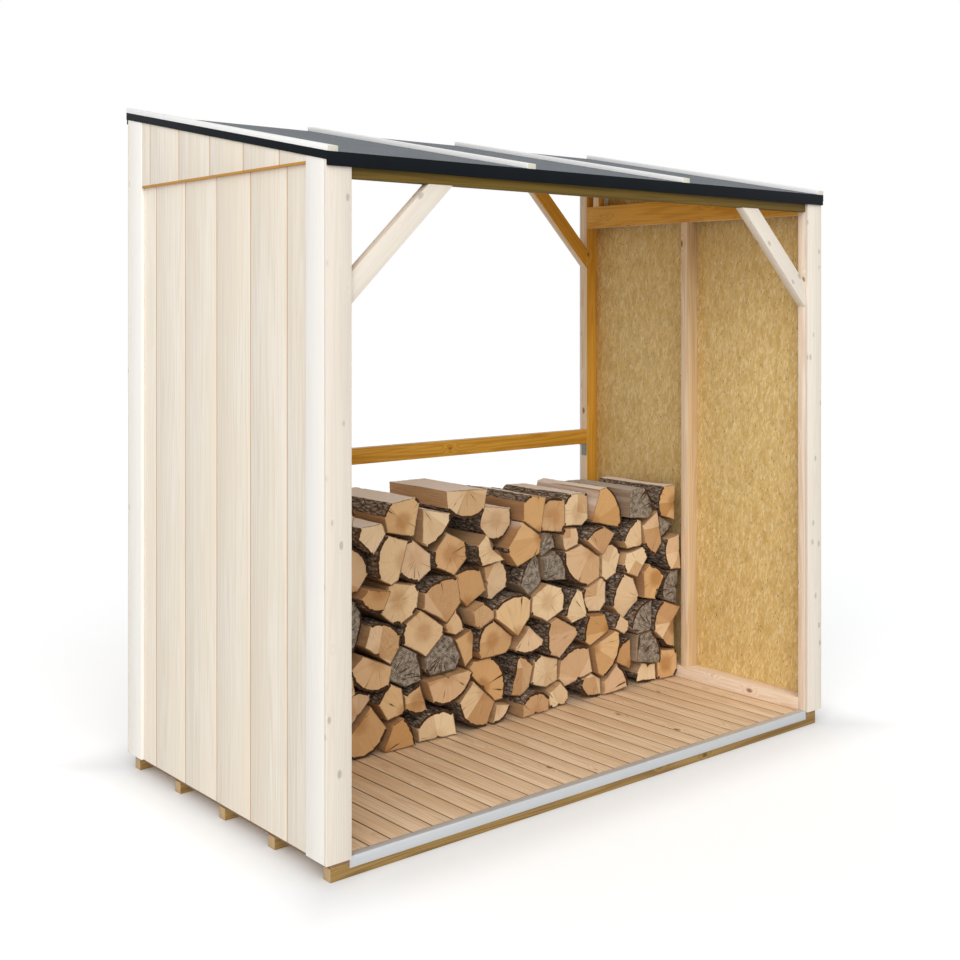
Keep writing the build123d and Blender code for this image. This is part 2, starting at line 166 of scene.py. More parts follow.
def timberMaterial(name, look, turn):
    material, tree, shader = newMaterial(name)
    knotMm, lineMm = look["knotMm"], look["lineMm"]
    knots = addNode(tree, "TexVoronoi", {}, {
        "Vector": grainCoords(tree, turn, (knotMm, knotMm, knotMm * grain["knotLong"])),
        "Scale": 1.0, "Randomness": 0.9})
    kept = addNode(tree, "Math", {"operation": "GREATER_THAN"}, {
        0: addNode(tree, "SeparateColor", {}, {0: knots.node.outputs["Color"]}), 1: look["knotFree"]})
    near = addNode(tree, "MapRange", softly, {
        "Value": knots, "From Max": 0.32, "To Min": grain["knotBend"], "To Max": 0.0})
    bend = addNode(tree, "Math", {"operation": "MULTIPLY"}, {0: near, 1: kept})
    field = addNode(tree, "TexNoise", {}, {
        "Vector": grainCoords(tree, turn, (lineMm, lineMm, grain["trunkMm"])),
        "Scale": 1.0, "Detail": 1.2, "Roughness": 0.4, "Distortion": 0.25})
    bent = addNode(tree, "Math", {"operation": "ADD"}, {0: field, 1: bend})
    lines = addNode(tree, "Math", {"operation": "SINE"}, {
        0: addNode(tree, "Math", {"operation": "MULTIPLY"}, {0: bent, 1: grain["lines"]})})
    late = addNode(tree, "MapRange", {}, {"Value": lines, "From Min": -0.4, "To Max": 0.5})
    fibre = addNode(tree, "TexNoise", {}, {
        "Vector": grainCoords(tree, turn, grain["fibreMm"]), "Scale": 1.0, "Detail": 2.5, "Roughness": 0.6})
    streaks = addNode(tree, "MapRange", {}, {
        "Value": fibre, "From Min": 0.35, "From Max": 0.72, "To Max": 0.35})
    cloud = addNode(tree, "TexNoise", {}, {
        "Vector": grainCoords(tree, turn, grain["cloudMm"]), "Scale": 1.0, "Detail": 2.0})
    patch = addNode(tree, "MapRange", {}, {"Value": cloud, "From Min": 0.36, "From Max": 0.66, "To Max": 0.4})
    fine = addNode(tree, "Math", {"operation": "ADD"}, {0: late, 1: streaks})
    shade = addNode(tree, "Math", {"operation": "ADD", "use_clamp": True}, {0: fine, 1: patch})
    color = addNode(tree, "Mix", mixColors, {
        0: shade, 6: hexColor(look["pale"]), 7: hexColor(look["dark"])}, 2)
    facing = addNode(tree, "SeparateXYZ", {}, {"Vector": addNode(tree, "NewGeometry", output="Normal")})
    # painted shade: faces turned along flatAxis take the darker golden colours of the shade they stand in
    if "flat" in look:
        paintedShade = addNode(tree, "Mix", mixColors, {
            0: shade, 6: hexColor(look["flat"][0]), 7: hexColor(look["flat"][1])}, 2)
        toward = addNode(tree, "Math", {"operation": "ABSOLUTE"}, {0: facing.node.outputs[look["flatAxis"]]})
        shadedFace = addNode(tree, "Math", {"operation": "GREATER_THAN"}, {0: toward, 1: 0.7})
        color = addNode(tree, "Mix", mixColors, {0: shadedFace, 6: color, 7: paintedShade}, 2)
    if "planks" in look:
        # the boards come from different planks
        start, pitch, tone = look["planks"]
        across = addNode(tree, "SeparateXYZ", {}, {"Vector": addNode(tree, "TexCoord", output="Object")})
        moved = addNode(tree, "Math", {"operation": "SUBTRACT"}, {0: across, 1: start})
        count = addNode(tree, "Math", {"operation": "FLOOR"}, {
            0: addNode(tree, "Math", {"operation": "DIVIDE"}, {0: moved, 1: pitch})})
        plank = addNode(tree, "TexWhiteNoise", {"noise_dimensions": "1D"}, {"W": count})
        share = addNode(tree, "Math", {"operation": "MULTIPLY"}, {0: plank, 1: grain["plankShare"]})
        color = addNode(tree, "Mix", mixColors, {0: share, 6: color, 7: hexColor(tone)}, 2)
    # painted shade: faces turned along edgeAxis, the sides of the boards in the gaps, are darkened
    if "edge" in look:
        toward = addNode(tree, "Math", {"operation": "ABSOLUTE"}, {0: facing.node.outputs[look["edgeAxis"]]})
        gapShade = addNode(tree, "MapRange", {}, {
            "Value": toward, "From Min": 0.35, "From Max": 0.8, "To Max": 0.9})
        color = addNode(tree, "Mix", mixColors, {0: gapShade, 6: color, 7: hexColor(look["edge"])}, 2)
    # a knot is a darker oval with a soft rim, and the coat over it is thinner
    wide = look.get("knotWide", 1.0)
    core = addNode(tree, "MapRange", {}, {
        "Value": knots, "From Min": 0.055 * wide, "From Max": 0.1 * wide, "To Min": 0.85, "To Max": 0.0})
    knot = addNode(tree, "Math", {"operation": "MULTIPLY"}, {0: core, 1: kept})
    color = addNode(tree, "Mix", mixColors, {0: knot, 6: color, 7: hexColor(look["knot"])}, 2)
    if "coat" in look:
        covered = addNode(tree, "MapRange", {}, {
            "Value": knot, "To Min": look["coatShare"], "To Max": look["coatShare"] * grain["knotCoat"]})
        color = addNode(tree, "Mix", mixColors, {0: covered, 6: color, 7: hexColor(look["coat"])}, 2)
    if "cutEnd" in look:
        toward = addNode(tree, "Math", {"operation": "ABSOLUTE"}, {0: facing.node.outputs[look["cutAxis"]]})
        onEnd = addNode(tree, "Math", {"operation": "GREATER_THAN"}, {0: toward, 1: 0.9})
        color = addNode(tree, "Mix", mixColors, {0: onEnd, 6: color, 7: hexColor(look["cutEnd"])}, 2)
    height = addNode(tree, "Math", {"operation": "ADD"}, {0: fibre, 1: late})
    values = {"Roughness": look.get("roughness", 0.62), "Specular IOR Level": 0.35}
    finishShader(tree, shader, color, height, values, depthMm=0.6, strength=look.get("relief", 0.25))
    return material


# Oriented strand board: flat spruce strands glued one over another, most of them lengthways, with bits of
# bark. The sizes are through the board, across it and along it.
strandBoard = {"strandMm": (500, 4, 17), "lineMm": (500, 1.6, 45), "mottleMm": (26, 26, 60),
               "speckMm": (15, 15, 32), "fibreMm": (6, 6, 40), "leans": (0, 35, -30, 12),
               "apart": (0.0, 3.7, 5.3), "wander": (0.0, 0.7, 0.4), "line": "#B58D4B", "patch": "#B88F45",
               "strands": ("#E0C07E", "#E8CC8E", "#DAB872", "#E5C680", "#F2E0B2"), "bark": "#5F4018",
               "roughness": 0.72}


def strandColor(tree, turn):
    color = None
    for layer, lean in enumerate(strandBoard["leans"]):
        leaning = (turn[0] + lean, turn[1], turn[2])
        cell = grainCoords(tree, leaning, strandBoard["strandMm"])
        apart = [layer * step for step in strandBoard["apart"]]
        moved = addNode(tree, "VectorMath", {"operation": "ADD"}, {0: cell, 1: apart})
        wander = addNode(tree, "TexNoise", {}, {"Vector": moved, "Scale": 0.5, "Detail": 1.0}, "Color")
        bent = addNode(tree, "VectorMath", {"operation": "MULTIPLY_ADD"}, {
            0: wander, 1: strandBoard["wander"], 2: moved})
        strand = addNode(tree, "TexVoronoi", {}, {"Vector": bent, "Scale": 1.0}, "Color")
        own = addNode(tree, "SeparateColor", {}, {0: strand})
        dark, pale = [hexColor(code) for code in strandBoard["strands"][layer:layer + 2]]
        tone = addNode(tree, "Mix", mixColors, {0: own, 6: dark, 7: pale}, 2)
        line = addNode(tree, "TexNoise", {}, {
            "Vector": grainCoords(tree, leaning, strandBoard["lineMm"]), "Scale": 1.0, "Detail": 2.0})
        drawn = addNode(tree, "MapRange", {}, {
            "Value": line, "From Min": 0.5, "From Max": 0.8, "To Max": 0.35})
        tone = addNode(tree, "Mix", mixColors, {0: drawn, 6: tone, 7: hexColor(strandBoard["line"])}, 2)
        if color is None:
            color = tone
        else:
            over = addNode(tree, "Math", {"operation": "GREATER_THAN"}, {0: own.node.outputs[1], 1: 0.55})
            color = addNode(tree, "Mix", mixColors, {0: over, 6: color, 7: tone}, 2)
    mottle = addNode(tree, "TexNoise", {}, {
        "Vector": grainCoords(tree, turn, strandBoard["mottleMm"]),
        "Scale": 1.0, "Detail": 5.0, "Roughness": 0.65})
    patch = addNode(tree, "MapRange", {}, {
        "Value": mottle, "From Min": 0.44, "From Max": 0.68, "To Max": 0.45})
    color = addNode(tree, "Mix", mixColors, {0: patch, 6: color, 7: hexColor(strandBoard["patch"])}, 2)
    specks = addNode(tree, "TexVoronoi", {}, {
        "Vector": grainCoords(tree, turn, strandBoard["speckMm"]), "Scale": 1.0})
    barky = addNode(tree, "MapRange", {}, {
        "Value": specks, "From Min": 0.08, "From Max": 0.17, "To Min": 0.65, "To Max": 0.0})
    return addNode(tree, "Mix", mixColors, {0: barky, 6: color, 7: hexColor(strandBoard["bark"])}, 2)


def strandMaterial(name, turn):
    material, tree, shader = newMaterial(name)
    color = strandColor(tree, turn)
    fibre = addNode(tree, "TexNoise", {}, {
        "Vector": grainCoords(tree, turn, strandBoard["fibreMm"]), "Scale": 1.0, "Detail": 3.0})
    finishShader(tree, shader, color, fibre, {
        "Roughness": strandBoard["roughness"], "Specular IOR Level": 0.3}, depthMm=0.8, strength=0.4)
    return material


# Grooved cladding board: primed cream with a faint brushed grain and golden grooves, partly unpainted wood and
# partly painted shade.
# The back of the sheet, which shows inside, is strand board.
cladding = {"pale": "#F1E9DC", "dark": "#E0D3C0", "warm": "#EBDCC6", "bare": "#C68F40", "dripMm": 7,
            "primedMm": 0.05, "bareMm": 0.5, "fibreMm": (3, 3, 170), "lineMm": (40, 40, 1600), "lines": 48.0,
            "cloudMm": (130, 130, 520), "roughness": 0.6}


def claddingMaterial(nodeName, sign):
    material, tree, shader = newMaterial("primedCladding" + nodeName.title().replace("_", ""))
    fibre = addNode(tree, "TexNoise", {}, {
        "Vector": grainCoords(tree, alongZ, cladding["fibreMm"]),
        "Scale": 1.0, "Detail": 3.0, "Roughness": 0.6})
    field = addNode(tree, "TexNoise", {}, {
        "Vector": grainCoords(tree, alongZ, cladding["lineMm"]),
        "Scale": 1.0, "Detail": 1.5, "Distortion": 0.2})
    lines = addNode(tree, "Math", {"operation": "SINE"}, {
        0: addNode(tree, "Math", {"operation": "MULTIPLY"}, {0: field, 1: cladding["lines"]})})
    late = addNode(tree, "MapRange", {}, {"Value": lines, "From Min": -0.3, "To Max": 0.4})
    streaks = addNode(tree, "MapRange", {}, {
        "Value": fibre, "From Min": 0.38, "From Max": 0.72, "To Max": 0.6})
    shade = addNode(tree, "Math", {"operation": "ADD", "use_clamp": True}, {0: late, 1: streaks})
    primed = addNode(tree, "Mix", mixColors, {
        0: shade, 6: hexColor(cladding["pale"]), 7: hexColor(cladding["dark"])}, 2)
    cloud = addNode(tree, "TexNoise", {}, {
        "Vector": grainCoords(tree, alongZ, cladding["cloudMm"]), "Scale": 1.0, "Detail": 2.0})
    warmer = addNode(tree, "MapRange", {}, {"Value": cloud, "From Min": 0.4, "From Max": 0.65, "To Max": 0.5})
    primed = addNode(tree, "Mix", mixColors, {0: warmer, 6: primed, 7: hexColor(cladding["warm"])}, 2)
    low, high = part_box(nodeName)
    outerFace = max(abs(low.x), abs(high.x))
    place = addNode(tree, "SeparateXYZ", {}, {"Vector": addNode(tree, "TexCoord", output="Object")})
    outward = addNode(tree, "Math", {"operation": "MULTIPLY"}, {0: place, 1: sign})
    # painted shade: the grooves, below the outer face, take the golden colour, partly unpainted wood and
    # partly the shade in them
    cut = addNode(tree, "MapRange", {}, {
        "Value": outward, "From Min": outerFace - cladding["bareMm"] * mm,
        "From Max": outerFace - cladding["primedMm"] * mm, "To Min": 1.0, "To Max": 0.0})
    primed = addNode(tree, "Mix", mixColors, {0: cut, 6: primed, 7: hexColor(cladding["bare"])}, 2)
    facing = addNode(tree, "SeparateXYZ", {}, {"Vector": addNode(tree, "NewGeometry", output="True Normal")})
    # the sawn lower edges are unpainted too, and on the gable the lowest dripMm take the same colour: painted
    # shade for the shadow line under its lap, partly unpainted wood
    drip = low.z + (cladding["dripMm"] * mm if "gable" in nodeName else 0)
    under = addNode(tree, "Math", {"operation": "LESS_THAN"}, {0: facing.node.outputs["Z"], 1: -0.5})
    lowest = addNode(tree, "Math", {"operation": "LESS_THAN"}, {0: place.node.outputs["Z"], 1: drip})
    below = addNode(tree, "Math", {"operation": "MAXIMUM"}, {0: under, 1: lowest})
    primed = addNode(tree, "Mix", mixColors, {0: below, 6: primed, 7: hexColor(cladding["bare"])}, 2)
    inward = addNode(tree, "Math", {"operation": "LESS_THAN"}, {
        0: addNode(tree, "Math", {"operation": "MULTIPLY"}, {0: facing, 1: sign}), 1: -0.5})
    color = addNode(tree, "Mix", mixColors, {0: inward, 6: primed, 7: strandColor(tree, alongZ)}, 2)
    finishShader(tree, shader, color, fibre, {
        "Roughness": cladding["roughness"], "Specular IOR Level": 0.3}, depthMm=0.5, strength=0.3)
    return material


# Mineral roofing felt: bitumen with slate grit rolled in, dull grey and sandy. The grit is drawn at 4 mm,
# coarser than real, so that it shows.
felt = {"gritMm": (4, 4, 4), "cloudMm": (160, 160, 160), "dark": "#666B70", "pale": "#82878C",
        "worn": "#6C7176", "roughness": 0.92}


def feltMaterial():
    material, tree, shader = newMaterial("mineralRoofFelt")
    grit = addNode(tree, "TexVoronoi", {}, {
        "Vector": grainCoords(tree, alongZ, felt["gritMm"]), "Scale": 1.0})
    own = addNode(tree, "SeparateColor", {}, {0: grit.node.outputs["Color"]})
    color = addNode(tree, "Mix", mixColors, {0: own, 6: hexColor(felt["dark"]), 7: hexColor(felt["pale"])}, 2)
    cloud = addNode(tree, "TexNoise", {}, {
        "Vector": grainCoords(tree, alongZ, felt["cloudMm"]), "Scale": 1.0, "Detail": 4.0})
    worn = addNode(tree, "MapRange", {}, {"Value": cloud, "From Min": 0.35, "From Max": 0.65, "To Max": 0.5})
    color = addNode(tree, "Mix", mixColors, {0: worn, 6: color, 7: hexColor(felt["worn"])}, 2)
    finishShader(tree, shader, color, grit, {
        "Roughness": felt["roughness"], "Specular IOR Level": 0.25}, depthMm=0.9, strength=0.6)
    return material


# Powder coated steel: satin blue black with a faint orange peel, drawn at 5 mm, coarser than real
blackCoat = {"peelMm": (5, 5, 5), "cloudMm": (90, 90, 90), "dark": "#0B0F13", "pale": "#12171C",
             "roughness": 0.62}


def blackMaterial():
    material, tree, shader = newMaterial("blackPowderCoat")
    peel = addNode(tree, "TexNoise", {}, {
        "Vector": grainCoords(tree, alongZ, blackCoat["peelMm"]), "Scale": 1.0, "Detail": 2.0})
    cloud = addNode(tree, "TexNoise", {}, {
        "Vector": grainCoords(tree, alongZ, blackCoat["cloudMm"]), "Scale": 1.0, "Detail": 3.0})
    color = addNode(tree, "Mix", mixColors, {
        0: cloud, 6: hexColor(blackCoat["dark"]), 7: hexColor(blackCoat["pale"])}, 2)
    finishShader(tree, shader, color, peel, {
        "Roughness": blackCoat["roughness"], "Specular IOR Level": 0.1}, depthMm=0.3, strength=0.15)
    return material


# Mill finish aluminium, drawn through a die, so fine lines run along it
aluminium = {"drawnMm": (1.2, 1.2, 260), "dark": "#C9CED2", "pale": "#DDE0E3", "shiny": 0.38, "dull": 0.5,
             "metallic": 0.55}


def aluminiumMaterial():
    material, tree, shader = newMaterial("millAluminium")
    drawn = addNode(tree, "TexNoise", {}, {
        "Vector": grainCoords(tree, alongX, aluminium["drawnMm"]), "Scale": 1.0, "Detail": 3.0})
    color = addNode(tree, "Mix", mixColors, {
        0: drawn, 6: hexColor(aluminium["dark"]), 7: hexColor(aluminium["pale"])}, 2)
    dull = addNode(tree, "MapRange", {}, {
        "Value": drawn, "From Min": 0.3, "From Max": 0.7,
        "To Min": aluminium["shiny"], "To Max": aluminium["dull"]})
    tree.links.new(dull, shader.inputs["Roughness"])
    finishShader(tree, shader, color, drawn, {"Metallic": aluminium["metallic"]}, depthMm=0.2, strength=0.12)
    return material


# Hot dip galvanised steel: dull grey crystals of a few millimetres
zinc = {"crystalMm": (7, 7, 7), "dark": "#84847A", "pale": "#A3A397", "roughness": 0.5, "metallic": 0.85}


def zincMaterial():
    material, tree, shader = newMaterial("galvanisedSteel")
    crystal = addNode(tree, "TexVoronoi", {}, {
        "Vector": grainCoords(tree, alongZ, zinc["crystalMm"]), "Scale": 1.0})
    own = addNode(tree, "SeparateColor", {}, {0: crystal.node.outputs["Color"]})
    color = addNode(tree, "Mix", mixColors, {0: own, 6: hexColor(zinc["dark"]), 7: hexColor(zinc["pale"])}, 2)
    finishShader(tree, shader, color, crystal, {
        "Roughness": zinc["roughness"], "Metallic": zinc["metallic"]}, depthMm=0.2, strength=0.1)
    return material


def copyOfNode(nodeName, pieceName):
    # a merged copy of a CAD node with its flat faces made whole, selected and active
    bpy.ops.object.select_all(action="DESELECT")
    piece = bpy.data.objects.new(pieceName, nodes[nodeName].data.copy())
    bpy.context.collection.objects.link(piece)
    piece.select_set(True)
    bpy.context.view_layer.objects.active = piece
    bpy.ops.object.mode_set(mode="EDIT")
    bpy.ops.mesh.select_all(action="SELECT")
    bpy.ops.mesh.remove_doubles(threshold=0.01 * mm)
    bpy.ops.mesh.dissolve_limited(angle_limit=math.radians(0.5))
    bpy.ops.object.mode_set(mode="OBJECT")
    return piece


# How far the edges of boards, sheets and metal are eased, in millimetres
eased = {"planed": 1.5, "deck": 2.2, "sawn": 2.0, "batten": 1.2, "sheet": 0.6, "fascia": 0.7, "sill": 0.6,
         "bracket": 0.5, "none": 0.0}


def dress(nodeName, material, easeMm):
    # the CAD node's own shape with eased edges and its finish
    words = nodeName.split("_")
    piece = copyOfNode(nodeName, words[0] + "".join(word.title() for word in words[1:]))
    if easeMm:
        bevel = piece.modifiers.new("easedEdges", "BEVEL")
        bevel.width = easeMm * mm
        bevel.segments = 2
        bevel.limit_method = "ANGLE"
        bevel.angle_limit = math.radians(30)
        bpy.ops.object.modifier_apply(modifier=bevel.name)
        bpy.ops.object.shade_smooth_by_angle(angle=math.radians(35))
    piece.data.materials.clear()
    piece.data.materials.append(material)
    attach(piece, "root")
    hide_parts(nodeName)


def dressTrims():
    white = timberMaterial("whitePrimedSpruce", timber["whitePrimed"], alongZ)
    # the cream copy of the primer, for the boards and braces that face the front, is partly painted shade
    cream = timberMaterial("creamPrimedSpruce", timber["creamPrimed"], alongZ)
    for side, lean in (("left", 45), ("right", -45)):
        dress(f"{side}_corner_boards", white, eased["planed"])
        brace = timberMaterial(f"creamPrimed{side.title()}Brace", timber["creamPrimed"], (0, lean, 0))
        dress(f"front_{side}_brace", brace, eased["planed"])
    for end in ("front", "back"):
        dress(f"{end}_cover_boards", cream, eased["planed"])
    print("trims dressed")


def dressFrame():
    spruceUp = timberMaterial("bareUprightSpruce", timber["spruce"], alongZ)
    spruceBack = timberMaterial("bareSpruceFrontToBack", timber["spruce"], alongY)
    goldenUp = timberMaterial("goldenUprightSpruce", timber["golden"], alongZ)
    honeyUp = timberMaterial("honeyUprightSpruce", timber["honey"], alongZ)
    goldenAcross = timberMaterial("goldenSpruceAcross", timber["golden"], alongX)
    goldenBack = timberMaterial("goldenSpruceFrontToBack", timber["golden"], alongY)
    # the top plates carry the golden painted shade on their faces along X, the inner faces under the roof
    goldenPlate = timberMaterial("goldenSprucePlate", {**timber["golden"], "flatAxis": "X"}, alongY)
    for side, lean in (("left", 45), ("right", -45)):
        brace = timberMaterial(f"golden{side.title()}Brace", timber["golden"], (0, lean, 0))
        sidePieces = {"front_post": spruceUp, "middle_stud": honeyUp, "back_post": goldenUp,
                      "gable_studs": goldenUp, "bottom_plate": spruceBack, "top_plate": goldenPlate}
        for name, wood in sidePieces.items():
            dress(f"{side}_{name}", wood, eased["planed"])
        dress(f"back_{side}_brace", brace, eased["planed"])
    # painted shadow: the front beam is coloured dark for the shade under the fascia
    shadowOliveAcross = timberMaterial("shadowOliveBeam", timber["olive"], alongX)
    acrossPieces = {"front_beam": shadowOliveAcross, "back_beam": goldenAcross, "back_rail": goldenAcross}
    for name, wood in acrossPieces.items():
        dress(name, wood, eased["planed"])
    dress("rail_brackets", zincMaterial(), eased["bracket"])
    dress("rafters", goldenBack, eased["planed"])
    print("frame dressed")


# the floor's boards side by side, and the tone of the darkest of them
deck = {"boards": 29, "tone": "#DCBB96"}


def dressFloor():
    low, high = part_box("deck_boards")
    planks = (low.x, (high.x - low.x) / deck["boards"], deck["tone"])
    larch = timberMaterial("oiledLarch", {**timber["larch"], "planks": planks}, alongY)
    dress("deck_boards", larch, eased["deck"])
    treated = timberMaterial("treatedPine", timber["treated"], alongX)
    dress("bearers", treated, eased["sawn"])
    dress("sill_strip", aluminiumMaterial(), eased["sill"])
    print("floor dressed")


def dressWalls():
    for side, sign in (("left", -1.0), ("right", 1.0)):
        for panel in ("wall_panel", "gable_panel"):
            primed = claddingMaterial(f"{side}_{panel}", sign)
            dress(f"{side}_{panel}", primed, eased["sheet"])
    print("walls dressed")


def dressRoof():
    black = blackMaterial()
    for nodeName in ("front_fascia", "back_fascia", "verge_strips"):
        dress(nodeName, black, eased["fascia"])
    dress("roof_felt", feltMaterial(), eased["none"])
    dress("roof_sheet", strandMaterial("roofStrandBoard", (90, 0, 90)), eased["none"])
    painted = timberMaterial("whitePaintedPine", timber["painted"], alongY)
    dress("roof_battens", painted, eased["batten"])
    print("roof dressed")


# Split firewood: the heart of the trunk shows at a corner or on a split face, and bark covers the far side.
# The solid logs have each bark side in flats of 20 degrees, the first of them at 7 degrees from +X.
firewood = {"lengthMm": 370, "barkStep": 20, "firstBark": 7, "barkThickMm": 8, "cornerMm": 2.5, "alongMm": 12,
            "aroundMm": 9, "shrinkMm": 2.4, "bulgeMm": 1.5, "slant": 0.1, "thinTrunkMm": 40, "thinSideMm": 30,
            "weathered": 0.15, "topMm": 760, "apart": 9, "seed": 5}
# How much a log's surface rises and falls, in millimetres, and over what size across and along the log
logRelief = {"bark": 3.0, "ridgeMm": (11, 32), "split": 2.0, "tornMm": (12, 170), "warp": 3.0,
             "warpMm": (70, 220), "notch": 14, "notchWideMm": 13, "notches": (0, 0.4, 0.8, 1.2),
             "offCentreMm": 15, "apart": 40}
# the order of the finishes on a log
sawnSlot, splitSlot, barkSlot = 0, 1, 2


def selectOnly(mesh, kind, wanted):
    # selects only the faces or edges that pass a test, and says whether there are any
    for part in (mesh.vertices, mesh.edges, mesh.polygons):
        part.foreach_set("select", [False] * len(part))
    parts = mesh.polygons if kind == "FACE" else mesh.edges
    chosen = [wanted(part) for part in parts]
    parts.foreach_set("select", chosen)
    bpy.context.tool_settings.mesh_select_mode = (False, kind == "EDGE", kind == "FACE")
    return any(chosen)


def inEditMode(operator, **settings):
    bpy.ops.object.mode_set(mode="EDIT")
    operator(**settings)
    bpy.ops.object.mode_set(mode="OBJECT")


def acrossAxis(vector):
    return Vector((vector.x, vector.z))


def isBarkFlat(face):
    step = firewood["barkStep"]
    turn = math.degrees(math.atan2(face.normal.z, face.normal.x))
    offset = (turn - firewood["firstBark"]) % step
    return abs(face.normal.y) < 0.1 and min(offset, step - offset) < 0.2


def trunkOf(outline, flats):
    # the heart and radius of the trunk whose bark the flats are, each flat touching the same circle
    rows = [(f.normal.x, f.normal.z, acrossAxis(f.center).dot(acrossAxis(f.normal))) for f in flats]
    if len(rows) > 2:
        terms = [(x, z, 1, d) for x, z, d in rows]
        sums = Matrix([[sum(a[i] * a[j] for a in terms) for j in range(3)] for i in range(3)])
        ends = Vector([sum(a[i] * a[3] for a in terms) for i in range(3)])
        x, z, radius = sums.inverted() @ ends
        if radius > firewood["thinTrunkMm"] * mm:
            return Vector((x, z)), radius
    # with fewer flats it is the corner or middle of a side that lies as far from each of them
    spots = outline + [(a + b) / 2 for a, b in zip(outline, outline[1:] + outline[:1])]
    best = (1.0, 0.0, outline[0])
    for spot in spots:
        reach = [d - spot.x * x - spot.y * z for x, z, d in rows] or [0.0]
        if max(reach) > firewood["thinSideMm"] * mm:
            uneven = round(1 - min(reach) / max(reach), 1)
            best = min(best, (uneven, -max(reach), spot), key=lambda item: item[:2])
    return best[2], -best[1]


def cutLog(log):
    # sorts the faces into sawn ends, split faces and bark, and makes points along and round the log to move
    mesh = log.data
    ends = [face for face in mesh.polygons if abs(face.normal.y) > 0.9]
    outline = [acrossAxis(mesh.vertices[i].co) for i in ends[0].vertices]
    heart, radius = trunkOf(outline, [face for face in mesh.polygons if isBarkFlat(face)])
    for face in mesh.polygons:
        onBark = abs((acrossAxis(face.center) - heart).length - radius) < 0.04 * radius
        side = barkSlot if onBark or isBarkFlat(face) else splitSlot
        face.material_index = sawnSlot if abs(face.normal.y) > 0.9 else side
    selectOnly(mesh, "FACE", lambda face: face.material_index == sawnSlot)
    inEditMode(bpy.ops.mesh.inset, thickness=firewood["barkThickMm"] * mm, depth=0)
    barkEdges = {key for face in mesh.polygons if face.material_index == barkSlot for key in face.edge_keys}
    for face in mesh.polygons:
        if face.material_index == sawnSlot and barkEdges.intersection(face.edge_keys):
            face.material_index = barkSlot
    sides = {}
    for face in mesh.polygons:
        for key in face.edge_keys:
            sides.setdefault(key, []).append(face.normal.copy())

    def isLong(edge):
        a, b = [mesh.vertices[i].co for i in edge.vertices]
        return abs(a.y - b.y) > firewood["lengthMm"] / 2 * mm

    def isSharp(edge):
        pair = sides[tuple(sorted(edge.vertices))]
        return isLong(edge) and pair[0].angle(pair[-1]) > math.radians(25)

    def isWide(edge):
        a, b = [mesh.vertices[i].co for i in edge.vertices]
        return abs(a.y - b.y) < 0.1 * mm and (a - b).length > 1.5 * firewood["aroundMm"] * mm

    if selectOnly(mesh, "EDGE", isSharp):
        inEditMode(bpy.ops.mesh.bevel, offset=firewood["cornerMm"] * mm, segments=2, affect="EDGES")
    selectOnly(mesh, "EDGE", isLong)
    inEditMode(bpy.ops.mesh.subdivide, number_cuts=round(firewood["lengthMm"] / firewood["alongMm"]))
    while selectOnly(mesh, "EDGE", isWide):
        inEditMode(bpy.ops.mesh.subdivide, number_cuts=1)
    return heart, radius, sum(outline, Vector((0, 0))) / len(outline)


def grainNoise(spot, sizeMm):
    # smooth noise that changes over the first size across the log and over the second along it
    across, along = [size * mm for size in sizeMm]
    return noise.noise(Vector((spot.x / across, spot.y / along, spot.z / across)))


def roughenLog(log, heart, radius, middle, chance):
    # moves the surface in code, because bark ridges, torn fibres and warped faces follow each log's own grain
    mesh = log.data
    low = min(v.co.y for v in mesh.vertices)
    high = max(v.co.y for v in mesh.vertices)
    notch = logRelief["notch"] * mm * chance.choice(logRelief["notches"])
    slope = [chance.uniform(-firewood["slant"], firewood["slant"]) for _ in range(2)]
    seed = Vector([chance.uniform(-logRelief["apart"], logRelief["apart"]) for _ in range(3)])
    bark, split = {}, {}
    for face in mesh.polygons:
        ofKind = bark if face.material_index == barkSlot else split
        for i in face.vertices:
            if abs(face.normal.y) < 0.5:
                ofKind.setdefault(i, []).append(face.normal.copy())
            elif face.material_index == barkSlot:
                bark.setdefault(i, [])
    moved = []
    for v in mesh.vertices:
        spot = v.co + seed
        across = acrossAxis(v.co)
        away = across - middle
        fromHeart = across - heart
        normals = bark.get(v.index, []) + split.get(v.index, [])
        outward = sum(normals, Vector()) if normals else Vector((away.x, 0, away.y))
        outward.normalize()
        barkShare = len(bark[v.index]) / max(1, len(normals)) if v.index in bark else 0
        if v.index in bark and not normals:
            barkShare = 1
        rough = logRelief["warp"] * (grainNoise(spot, logRelief["warpMm"]) - 0.4) - firewood["shrinkMm"]
        rough += barkShare * logRelief["bark"] * (0.4 - 2.2 * abs(grainNoise(spot, logRelief["ridgeMm"])))
        rough += (1 - barkShare) * logRelief["split"] * grainNoise(spot, logRelief["tornMm"])
        shift = outward * rough * mm
        if barkShare > 0.5 and normals and fromHeart.length > 0.5 * radius:
            rounded = fromHeart * ((radius + firewood["bulgeMm"] * mm) / fromHeart.length - 1)
            shift += Vector((rounded.x, 0, rounded.y))
        if (middle - heart).length > logRelief["offCentreMm"] * mm:
            inwards = (middle - heart).normalized()
            pushed = max(0, 1 - fromHeart.length / (logRelief["notchWideMm"] * mm)) * notch
            shift += Vector((inwards.x, 0, inwards.y)) * pushed
        share = (v.co.y - low) / (high - low)
        shift.y = (slope[0] * away.x + slope[1] * away.y) * (1 - 2 * share)
        moved.append(v.co + shift)
    for v, place in zip(mesh.vertices, moved):
        v.co = place


